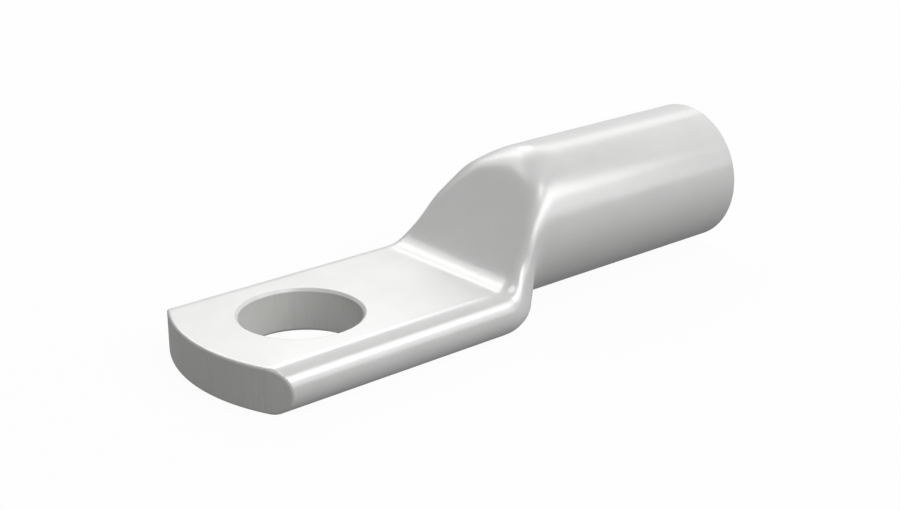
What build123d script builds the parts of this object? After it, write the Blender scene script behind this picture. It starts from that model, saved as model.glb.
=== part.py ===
"""Aluminium cable lug: one tube, one end pressed flat into a palm with a stud hole.

Millimetres. The origin is the stud hole's centre on the underside of the palm, X runs along
the lug towards the open mouth of the barrel, Z points up out of the palm. The whole lug rests
on Z = 0: the underside of the palm and the lowest line of the barrel lie on one plane.
"""
import os
from math import asin, cos, pi, radians, sin, sqrt, tan

from build123d import *

os.makedirs("parts", exist_ok=True)

# Tube the lug is made from
barrel_diameter = 13.5
wall = 2.0
bore_diameter = barrel_diameter - 2 * wall

# Palm: both walls of the tube pressed together, so it is two walls thick
palm_thickness = 2 * wall
palm_width = 18.5
stud_hole_diameter = 10.5
stud_hole_chamfer = 0.25
hole_to_tip = 10.15
tip_radius = 16.5
tip_edge_radius = 0.25

# Lengths along X from the stud hole's centre
hole_to_bend = 16.55
hole_to_shoulder = 17.1
hole_to_mouth = 47.5

# Pressed slope on top, from the bend at the palm to the crest at the barrel
slope_angle = 51.6
bend_radius = 3.0
crest_radius = 4.25

# Shoulders, where the sides run in from the palm's width to the barrel's
shoulder_angle = 34.2
shoulder_radius = 5.0
waist_radius = 2.9

# Barrel mouth
mouth_outer_chamfer = 0.1
mouth_inner_chamfer = 0.4

# Cavity: the inside closes to a slit this high before the palm
slit_height = 0.5

# Plain length at each end of the pressed one, so that the loft leaves palm and barrel level
level_run = 0.5

# Side arcs of a section turn this far from upright on a round, and less at the shoulders
round_lean = 45.0
shoulder_lean = 4.4

# A flat that has run out is drawn as a shallow arc this wide, in shares of the barrel's radius
least_flat_share = 0.09

# Values that follow from the sizes above
palm_half = palm_width / 2
side_radius = palm_thickness / 2
palm_flat = palm_half - side_radius
barrel_radius = barrel_diameter / 2
bore_radius = bore_diameter / 2
least_flat = least_flat_share * barrel_radius
bend_start = hole_to_bend - bend_radius * tan(radians(slope_angle) / 2)
bend_end = bend_start + bend_radius * sin(radians(slope_angle))
crest_end = (
    hole_to_bend
    + (barrel_diameter - palm_thickness) / tan(radians(slope_angle))
    + crest_radius * tan(radians(slope_angle) / 2)
)
crest_start = crest_end - crest_radius * sin(radians(slope_angle))
palm_end = bend_start - level_run
barrel_start = crest_end + level_run
slit_start = bend_start + sqrt(bend_radius**2 - (bend_radius - slit_height) ** 2)

# Shares of the way from palm to barrel over which the section changes: the sides stand up and
# lean back, the roundings above and below open out, the flat underneath runs out
sides_up = (0.0, 0.25)
sides_back = (0.35, 0.90)
upper_opens = (0.25, 0.52)
lower_opens = (0.31, 0.59)
floor_ends = (0.0, 0.78)

# Share of the palm's flat top that is left, at shares of the way from palm to barrel
flat_left = [
    (0, 1), (0.15, 0.935), (0.25, 0.885), (0.38, 0.83), (0.51, 0.70), (0.60, 0.545), (0.69, 0.31), (0.78, 0),
]


def ease(t, span):
    """0 before the span, 1 after it, and no corner in its grade or its bend."""
    start, end = span
    u = min(max((t - start) / (end - start), 0.0), 1.0)
    return u**3 * (10 - 15 * u + 6 * u * u)


def smooth(t, stations):
    """Smooth curve through (t, value) stations that never swings past them."""
    if t <= stations[0][0]:
        return stations[0][1]
    if t >= stations[-1][0]:
        return stations[-1][1]
    steps = [(v2 - v1) / (t2 - t1) for (t1, v1), (t2, v2) in zip(stations, stations[1:])]
    grades = [0.0]
    for s1, s2 in zip(steps, steps[1:]):
        grades.append(2 * s1 * s2 / (s1 + s2) if s1 * s2 > 0 else 0.0)
    grades.append(0.0)
    i = max(k for k, station in enumerate(stations) if station[0] <= t)
    (t1, v1), (t2, v2) = stations[i], stations[i + 1]
    span = t2 - t1
    u = (t - t1) / span
    a = (1 + 2 * u) * (1 - u) ** 2
    b = u * (1 - u) ** 2
    c = u * u * (3 - 2 * u)
    d = u * u * (u - 1)
    return a * v1 + b * span * grades[i] + c * v2 + d * span * grades[i + 1]


def ramp(x, knee, rise, angle, foot, head):
    """Height above level of a straight at an angle, with an arc at its foot and at its head."""
    turn = radians(angle)
    start = knee - foot * tan(turn / 2)
    end = knee + rise / tan(turn) + head * tan(turn / 2)
    if x <= start:
        return 0.0
    if x <= start + foot * sin(turn):
        return foot - sqrt(foot**2 - (x - start) ** 2)
    if x < end - head * sin(turn):
        return (x - knee) * tan(turn)
    if x < end:
        return rise - head + sqrt(head**2 - (end - x) ** 2)
    return rise


def top_height(x):
    rise = barrel_diameter - palm_thickness
    return palm_thickness + ramp(x, hole_to_bend, rise, slope_angle, bend_radius, crest_radius)


def half_width(x):
    drop = palm_half - barrel_radius
    return palm_half - ramp(x, hole_to_shoulder, drop, shoulder_angle, shoulder_radius, waist_radius)


def ring(x, half, low, high, flat_top, flat_floor, centre_top, centre_floor, lean):
    """Closed outline across X: eight edges, the same count for every section of a loft.

    Each side is one arc, upright where it is widest and leaning in by the same angle at both
    ends. A conic joins each end to the flat above or below. With both centres at half the
    height, the outline is a circle or a slot.
    """
    turn = radians(lean)
    upper = low + centre_top * (1 + sin(turn))
    lower = low + centre_floor * (1 - sin(turn))
    radius = (upper - lower) / (2 * sin(turn))
    end = half - radius * (1 - cos(turn))
    bulge = end + (upper - lower) / 2 * tan(turn)
    above = (flat_top, high, 1, upper)
    below = (flat_floor, low, -1, lower)
    plane = Plane(origin=(x, 0, 0), x_dir=(0, 1, 0), z_dir=(1, 0, 0))
    with BuildSketch(plane) as outline:
        with BuildLine():
            for side in (1, -1):
                Bezier(
                    (side * end, upper),
                    (side * bulge, (upper + lower) / 2),
                    (side * end, lower),
                    weights=[1, cos(turn), 1],
                )
            for flat, edge, up, z in (above, below):
                start = max(flat, least_flat)
                tip = asin((start - flat) / ((high - low) / 2))
                crown = edge - up * start * tan(tip / 2)
                run = end - start
                drop = up * (crown - z)
                along = (run - drop * tan(turn)) / (cos(tip) - sin(tip) * tan(turn))
                corner = (start + along * cos(tip), crown - up * along * sin(tip))
                for side in (1, -1):
                    Bezier(
                        (side * start, crown),
                        (side * corner[0], corner[1]),
                        (side * end, z),
                        weights=[1, cos((pi / 2 - turn - tip) / 2), 1],
                    )
                if start > flat:
                    ThreePointArc((-start, crown), (0, edge), (start, crown))
                else:
                    Line((-start, crown), (start, crown))
        make_face()
    return outline.sketch


def outer(x):
    """Outside of the lug: flat where the press has been, upright at the shoulders, then round."""
    t = (x - bend_start) / (crest_end - bend_start)
    centre_top = side_radius + (barrel_radius - side_radius) * ease(t, upper_opens)
    centre_floor = side_radius + (barrel_radius - side_radius) * ease(t, lower_opens)
    upright = ease(t, sides_up) - ease(t, sides_back)
    lean = round_lean - (round_lean - shoulder_lean) * upright
    flat_top = palm_flat * smooth(t, flat_left)
    flat_floor = palm_flat * (1 - ease(t, floor_ends))
    return ring(x, half_width(x), 0.0, top_height(x), flat_top, flat_floor, centre_top, centre_floor, lean)


def inner(x):
    """Inside of the tube: one wall in from the outside, a slit at the palm, round at the barrel."""
    low = wall
    high = top_height(x) - wall
    radius = (high - low) / 2
    half = half_width(x) - wall
    flat = max(half - radius, 0.0)
    return ring(x, half, low, high, flat, flat, radius, radius, round_lean)


def steps(start, end, count):
    """Evenly spaced places after start, the last one at end."""
    return [start + (end - start) * k / count for k in range(1, count + 1)]


# Sections of the outside stand closest where the top line bends
outer_stations = [palm_end] + steps(palm_end, bend_start, 2) + steps(bend_start, bend_end, 4)
outer_stations += steps(bend_end, crest_start, 9) + steps(crest_start, crest_end, 4)
outer_stations += steps(crest_end, barrel_start, 2)
inner_stations = [slit_start] + steps(slit_start, barrel_start, 5)

section_plane = Plane(origin=(0, 0, 0), x_dir=(0, 1, 0), z_dir=(1, 0, 0))

with BuildPart() as lug:
    # Palm with full round sides, then its shallow round tip
    with BuildSketch(section_plane.offset(palm_end)):
        with Locations((0, side_radius)):
            SlotOverall(palm_width, palm_thickness)
    extrude(amount=-(palm_end + hole_to_tip))
    with BuildSketch(Plane.XY):
        with Locations((-hole_to_tip, 0)):
            Rectangle(tip_radius, 2 * palm_width)
        with Locations((tip_radius - hole_to_tip, 0)):
            Circle(tip_radius, mode=Mode.SUBTRACT)
    extrude(amount=palm_thickness, mode=Mode.SUBTRACT)
    tip = lug.faces().sort_by(Axis.X)[0]
    fillet(tip.edges().sort_by(Axis.Z)[-1], radius=tip_edge_radius)
    # Stud hole with broken edges
    with BuildSketch(Plane.XY):
        Circle(stud_hole_diameter / 2)
    extrude(amount=palm_thickness, mode=Mode.SUBTRACT)
    chamfer(lug.edges(Select.LAST).filter_by(GeomType.CIRCLE), length=stud_hole_chamfer)
    # Pressed length between palm and barrel
    for x in outer_stations:
        add(outer(x))
    loft()
    # Barrel
    with BuildSketch(section_plane.offset(barrel_start)):
        with Locations((0, barrel_radius)):
            Circle(barrel_radius)
    extrude(amount=hole_to_mouth - barrel_start)
    mouth = lug.faces().sort_by(Axis.X)[-1]
    chamfer(mouth.edges(), length=mouth_outer_chamfer)
    # Bore, closing to a slit inside the pressed length
    with BuildSketch(section_plane.offset(barrel_start)):
        with Locations((0, barrel_radius)):
            Circle(bore_radius)
    extrude(amount=hole_to_mouth - barrel_start, mode=Mode.SUBTRACT)
    for x in inner_stations:
        add(inner(x))
    loft(mode=Mode.SUBTRACT)
    mouth = lug.faces().sort_by(Axis.X)[-1]
    chamfer(mouth.inner_wires()[0].edges(), length=mouth_inner_chamfer)

lug.part.label = "cable_lug"
export_step(lug.part, "parts/cable_lug.step")
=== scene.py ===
"""The look of an aluminium cable lug: satin metal on a plain white floor."""
from math import radians

import bpy
from mathutils import Matrix, Vector


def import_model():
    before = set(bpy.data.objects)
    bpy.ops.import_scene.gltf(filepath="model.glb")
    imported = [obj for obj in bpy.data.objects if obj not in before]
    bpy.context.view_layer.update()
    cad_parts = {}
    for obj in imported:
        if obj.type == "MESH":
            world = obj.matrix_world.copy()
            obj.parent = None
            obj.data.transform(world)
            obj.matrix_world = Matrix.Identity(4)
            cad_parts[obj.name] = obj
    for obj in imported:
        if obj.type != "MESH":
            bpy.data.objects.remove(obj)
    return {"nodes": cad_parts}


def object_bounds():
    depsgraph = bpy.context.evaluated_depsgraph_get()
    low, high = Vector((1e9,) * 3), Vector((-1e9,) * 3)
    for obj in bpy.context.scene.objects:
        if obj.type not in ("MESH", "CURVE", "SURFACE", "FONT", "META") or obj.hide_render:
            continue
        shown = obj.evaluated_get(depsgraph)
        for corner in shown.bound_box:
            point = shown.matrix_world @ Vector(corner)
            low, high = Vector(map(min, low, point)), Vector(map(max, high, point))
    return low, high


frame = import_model()
cad_low, cad_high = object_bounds()
scene = bpy.context.scene
lug = frame["nodes"]["cable_lug"]

WHITE = (1, 1, 1, 1)

# Camera, as in the photograph (metres and degrees)
CAMERA_PLACE = Vector((-0.06837, -0.09911, 0.05515))
CAMERA_HEADING = 49.455
CAMERA_DOWN = 20.991
CAMERA_ROLL = 0.246
CAMERA_LENS_MM = 62.22
SENSOR_WIDTH_MM = 36.0
NEAREST_SEEN = 0.001

# Floor (metres), grey where its light falls on the lug and white where it is seen
FLOOR_HALF = 3.0
FLOOR_GAP = 0.00002
FLOOR_BOUNCE_COLOUR = (0.08, 0.08, 0.08, 1)
FLOOR_SEEN_COLOUR = (0.9, 0.9, 0.9, 1)
FLOOR_SHOWS_WHITE = 0.96

# World
WORLD_LIGHT = 0.03
WORLD_SHOWS_WHITE = 0.97

# Lamps: azimuth and elevation in degrees, width and height in metres, power in watts
LAMP_DISTANCE = 0.5
LAMPS = {
    "far_left": (90, 42, 0.28, 0.28, 0.5),
    "far_low": (61, 22, 0.17, 0.16, 0.087),
    "far_strip": (41, 33, 0.26, 0.11, 0.2),
    "far_middle": (67, 37.5, 0.28, 0.17, 0.3),
    "far_crest": (55, 37, 0.12, 0.12, 0.06),
    "far_upper": (66, 50, 0.26, 0.11, 0.11),
    "mouth_side": (0, 28, 0.28, 0.28, 0.16),
    "near_strip": (300, 42, 0.4, 0.2, 0.95),
    "near_low": (305, 25, 0.28, 0.28, 0.42),
    "near_top": (290, 75, 0.2, 0.2, 0.4),
    "tip_side": (195, 20, 0.28, 0.28, 0.29),
}

# Satin aluminium, as it leaves the tumbler and the pickling bath
METAL_SHARE = 0.16
METAL_SPECULAR = 0.0
SATIN_COLOURS = ((0.76, 0.762, 0.755, 1), (0.835, 0.837, 0.83, 1))
SATIN_ROUGHNESS = (0.14, 0.32)

# Plainer metal where the press sheared it, at the tip and in the stud hole, darker and warmer partly
# as painted shade on the tip's end face and the stud hole's wall
SHEARED_COLOURS_AND_PAINTED_SHADE = ((0.71, 0.712, 0.692, 1), (0.81, 0.812, 0.79, 1))
SHEARED_ROUGHNESS = 0.42

# Sizes of the lug (millimetres), which say where the sheared metal is
MM_PER_M = 1000
HOLE_TO_TIP = 10.15
TIP_RADIUS = 16.5
STUD_HOLE_RADIUS = 5.25
HOLE_CENTRE = (0, 0, 0)
TIP_ARC_CENTRE = (TIP_RADIUS - HOLE_TO_TIP, 0, 0)
TIP_FACE_FROM = TIP_RADIUS - 0.08
HOLE_WALL_WITHIN = STUD_HOLE_RADIUS + 0.02

# Patterns of the surface: cells per millimetre along X, Y and Z, and levels of finer detail
MOTTLE = ((0.3, 0.3, 0.3), 4)
GRAIN = ((5, 5, 5), 2)
DRAWN_LINES = ((0.06, 4, 4), 3)
SHEAR_LINES = ((4, 4, 0.25), 3)

# Depths of the patterns (metres)
GRAIN_DEPTH = 0.000003
DRAWN_DEPTH = 0.000004
SHEAR_DEPTH = 0.000008

# Edges are softened in the shading, within the first distance (metres) on palm and barrel and
# within the second one over the pressed length, which begins and ends at these X (millimetres)
SOFTENED_WITHIN = (0.00012, 0.002)
PRESSED_BEGINS = (17, 22)
PRESSED_ENDS = (28, 34)
SOFTENING_SAMPLES = 8


def new_material(name):
    material = bpy.data.materials.new(name)
    material.use_nodes = True
    material.node_tree.nodes.clear()
    return material, material.node_tree.nodes, material.node_tree.links


def maths(nodes, links, operation, first, second):
    """Result of an operation on two values, each a number or a socket."""
    node = nodes.new("ShaderNodeMath")
    node.operation = operation
    for socket, value in zip(node.inputs, (first, second)):
        if isinstance(value, (int, float)):
            socket.default_value = value
        else:
            links.new(value, socket)
    return node.outputs[0]


def noise(nodes, links, place, cells, detail):
    """Even noise, stretched along an axis that has fewer cells than the others."""
    spread = nodes.new("ShaderNodeMapping")
    spread.inputs["Scale"].default_value = cells
    links.new(place, spread.inputs["Vector"])
    texture = nodes.new("ShaderNodeTexNoise")
    texture.inputs["Scale"].default_value = 1
    texture.inputs["Detail"].default_value = detail
    links.new(spread.outputs[0], texture.inputs["Vector"])
    return texture.outputs[0]


def between(nodes, links, kind, share, low, high):
    """Low at a share of 0 and high at 1, as a colour (RGBA) or as a number (FLOAT)."""
    mix = nodes.new("ShaderNodeMix")
    mix.data_type = kind
    sockets = [socket for socket in mix.inputs if socket.enabled]
    links.new(share, sockets[0])
    for socket, value in zip(sockets[1:], (low, high)):
        if isinstance(value, (int, float, tuple)):
            socket.default_value = value
        else:
            links.new(value, socket)
    return [socket for socket in mix.outputs if socket.enabled][0]


def smooth_step(nodes, links, value, span, low, high):
    """Low before the span, high after it, and a smooth change in between."""
    step = nodes.new("ShaderNodeMapRange")
    step.interpolation_type = "SMOOTHSTEP"
    step.inputs["From Min"].default_value = span[0]
    step.inputs["From Max"].default_value = span[1]
    step.inputs["To Min"].default_value = low
    step.inputs["To Max"].default_value = high
    links.new(value, step.inputs["Value"])
    return step.outputs[0]


def place_in_mm(nodes, links):
    """The place on the lug in its own frame, in millimetres."""
    coordinates = nodes.new("ShaderNodeTexCoord")
    millimetres = nodes.new("ShaderNodeVectorMath")
    millimetres.operation = "SCALE"
    millimetres.inputs["Scale"].default_value = MM_PER_M
    links.new(coordinates.outputs["Object"], millimetres.inputs[0])
    return millimetres.outputs[0]


def along_lug(nodes, links, place):
    """X of the place, from the stud hole's centre towards the mouth."""
    parts = nodes.new("ShaderNodeSeparateXYZ")
    links.new(place, parts.inputs[0])
    return parts.outputs["X"]


def distance_from(nodes, links, place, centre):
    """Distance from an upright line through centre."""
    flat = nodes.new("ShaderNodeVectorMath")
    flat.operation = "MULTIPLY"
    flat.inputs[1].default_value = (1, 1, 0)
    links.new(place, flat.inputs[0])
    away = nodes.new("ShaderNodeVectorMath")
    away.operation = "DISTANCE"
    away.inputs[1].default_value = centre
    links.new(flat.outputs[0], away.inputs[0])
    return away.outputs["Value"]


def sheared_share(nodes, links, place):
    """1 on the tip's end face and on the wall of the stud hole, 0 elsewhere."""
    tip_side = maths(nodes, links, "LESS_THAN", along_lug(nodes, links, place), 0)
    from_arc_centre = distance_from(nodes, links, place, TIP_ARC_CENTRE)
    past_tip = maths(nodes, links, "GREATER_THAN", from_arc_centre, TIP_FACE_FROM)
    on_tip = maths(nodes, links, "MULTIPLY", tip_side, past_tip)
    from_hole_centre = distance_from(nodes, links, place, HOLE_CENTRE)
    in_hole = maths(nodes, links, "LESS_THAN", from_hole_centre, HOLE_WALL_WITHIN)
    return maths(nodes, links, "MAXIMUM", on_tip, in_hole)


def pressed_share(nodes, links, place):
    """1 over the pressed length between palm and barrel, 0 well before and after it."""
    along = along_lug(nodes, links, place)
    begun = smooth_step(nodes, links, along, PRESSED_BEGINS, 0, 1)
    not_over = smooth_step(nodes, links, along, PRESSED_ENDS, 1, 0)
    return maths(nodes, links, "MULTIPLY", begun, not_over)


def surface_normal(nodes, links, place, height):
    """The surface with its edges softened and the fine height of its patterns added."""
    pressed = pressed_share(nodes, links, place)
    soft = nodes.new("ShaderNodeBevel")
    soft.samples = SOFTENING_SAMPLES
    links.new(between(nodes, links, "FLOAT", pressed, *SOFTENED_WITHIN), soft.inputs["Radius"])
    bump = nodes.new("ShaderNodeBump")
    bump.inputs["Distance"].default_value = 1
    links.new(soft.outputs[0], bump.inputs["Normal"])
    links.new(height, bump.inputs["Height"])
    return bump.outputs[0]


def aluminium():
    """Satin metal with mottling, grain and drawn lines, and sheared metal with upright lines and
    partly painted shade.
    """
    material, nodes, links = new_material("satin_aluminium")
    output = nodes.new("ShaderNodeOutputMaterial")
    metal = nodes.new("ShaderNodeBsdfPrincipled")
    metal.inputs["Metallic"].default_value = METAL_SHARE
    metal.inputs["Specular IOR Level"].default_value = METAL_SPECULAR
    links.new(metal.outputs["BSDF"], output.inputs["Surface"])

    place = place_in_mm(nodes, links)
    mottle = noise(nodes, links, place, *MOTTLE)
    grain = noise(nodes, links, place, *GRAIN)
    drawn = noise(nodes, links, place, *DRAWN_LINES)
    shear = noise(nodes, links, place, *SHEAR_LINES)
    sheared = sheared_share(nodes, links, place)

    satin_colour = between(nodes, links, "RGBA", mottle, *SATIN_COLOURS)
    # Sheared faces are darker and warmer, partly from their own duller finish and partly as painted
    # shade on the tip's end face and the hole's wall
    sheared_colour_and_painted_shade = between(nodes, links, "RGBA", shear, *SHEARED_COLOURS_AND_PAINTED_SHADE)
    colour = between(nodes, links, "RGBA", sheared, satin_colour, sheared_colour_and_painted_shade)
    links.new(colour, metal.inputs["Base Color"])

    mottle_and_drawn = maths(nodes, links, "ADD", mottle, drawn)
    their_mean = maths(nodes, links, "DIVIDE", mottle_and_drawn, 2)
    satin_rough = between(nodes, links, "FLOAT", their_mean, *SATIN_ROUGHNESS)
    rough = between(nodes, links, "FLOAT", sheared, satin_rough, SHEARED_ROUGHNESS)
    links.new(rough, metal.inputs["Roughness"])

    grain_height = maths(nodes, links, "MULTIPLY", grain, GRAIN_DEPTH)
    drawn_height = maths(nodes, links, "MULTIPLY", drawn, DRAWN_DEPTH)
    satin_height = maths(nodes, links, "ADD", grain_height, drawn_height)
    shear_height = maths(nodes, links, "MULTIPLY", shear, SHEAR_DEPTH)
    height = between(nodes, links, "FLOAT", sheared, satin_height, shear_height)
    links.new(surface_normal(nodes, links, place, height), metal.inputs["Normal"])
    return material


def seen_share(nodes, links):
    """1 for camera, glossy and transmission rays, 0 for the light that bounces or falls."""
    path = nodes.new("ShaderNodeLightPath")
    seen = maths(nodes, links, "MAXIMUM", path.outputs["Is Camera Ray"], path.outputs["Is Glossy Ray"])
    return maths(nodes, links, "MAXIMUM", seen, path.outputs["Is Transmission Ray"])


def white_floor():
    """White to the camera and in reflections, and grey to the light that bounces off it."""
    material, nodes, links = new_material("white_floor")
    output = nodes.new("ShaderNodeOutputMaterial")
    seen = seen_share(nodes, links)
    plain = nodes.new("ShaderNodeBsdfDiffuse")
    colour = between(nodes, links, "RGBA", seen, FLOOR_BOUNCE_COLOUR, FLOOR_SEEN_COLOUR)
    links.new(colour, plain.inputs["Color"])
    white = nodes.new("ShaderNodeEmission")
    white.inputs["Color"].default_value = WHITE
    mix = nodes.new("ShaderNodeMixShader")
    links.new(maths(nodes, links, "MULTIPLY", seen, FLOOR_SHOWS_WHITE), mix.inputs[0])
    links.new(plain.outputs[0], mix.inputs[1])
    links.new(white.outputs[0], mix.inputs[2])
    links.new(mix.outputs[0], output.inputs["Surface"])
    return material


def floor():
    """One wide square just under the lug."""
    mesh = bpy.data.meshes.new("floor")
    half = FLOOR_HALF
    corners = [(-half, -half, 0), (half, -half, 0), (half, half, 0), (-half, half, 0)]
    mesh.from_pydata(corners, [], [(0, 1, 2, 3)])
    mesh.materials.append(white_floor())
    plane = bpy.data.objects.new("floor", mesh)
    plane.location.z = -FLOOR_GAP
    scene.collection.objects.link(plane)


def world():
    """Plain weak light, and the floor's white to the camera and in reflections."""
    sky = bpy.data.worlds.new("studio")
    sky.use_nodes = True
    nodes, links = sky.node_tree.nodes, sky.node_tree.links
    background = nodes["Background"]
    background.inputs["Color"].default_value = WHITE
    seen = seen_share(nodes, links)
    strength = between(nodes, links, "FLOAT", seen, WORLD_LIGHT, WORLD_SHOWS_WHITE)
    links.new(strength, background.inputs["Strength"])
    scene.world = sky


def softbox(name, azimuth, elevation, width, height, watts):
    """A rectangular lamp aimed at the lug. Azimuth 0 is along +X and 90 along +Y."""
    data = bpy.data.lights.new(name, "AREA")
    data.shape = "RECTANGLE"
    data.size = width
    data.size_y = height
    data.energy = watts
    lamp = bpy.data.objects.new(name, data)
    centre = (cad_low + cad_high) / 2
    turn = Matrix.Rotation(radians(azimuth), 4, "Z") @ Matrix.Rotation(radians(-elevation), 4, "Y")
    lamp.location = centre + turn @ Vector((LAMP_DISTANCE, 0, 0))
    lamp.rotation_mode = "QUATERNION"
    lamp.rotation_quaternion = (lamp.location - centre).to_track_quat("Z", "Y")
    scene.collection.objects.link(lamp)


def camera():
    """The photograph's view. Heading 0 is along +X and 90 along +Y."""
    data = bpy.data.cameras.new("camera")
    data.sensor_width = SENSOR_WIDTH_MM
    data.lens = CAMERA_LENS_MM
    data.clip_start = NEAREST_SEEN
    eye = bpy.data.objects.new("camera", data)
    turn = Matrix.Rotation(radians(CAMERA_HEADING - 90), 4, "Z")
    tilt = Matrix.Rotation(radians(90 - CAMERA_DOWN), 4, "X")
    roll = Matrix.Rotation(radians(CAMERA_ROLL), 4, "Z")
    eye.matrix_world = Matrix.Translation(CAMERA_PLACE) @ turn @ tilt @ roll
    scene.collection.objects.link(eye)
    scene.camera = eye


lug.data.materials.clear()
lug.data.materials.append(aluminium())
floor()
world()
for name, values in LAMPS.items():
    softbox(name, *values)
camera()
scene.view_settings.view_transform = "Standard"
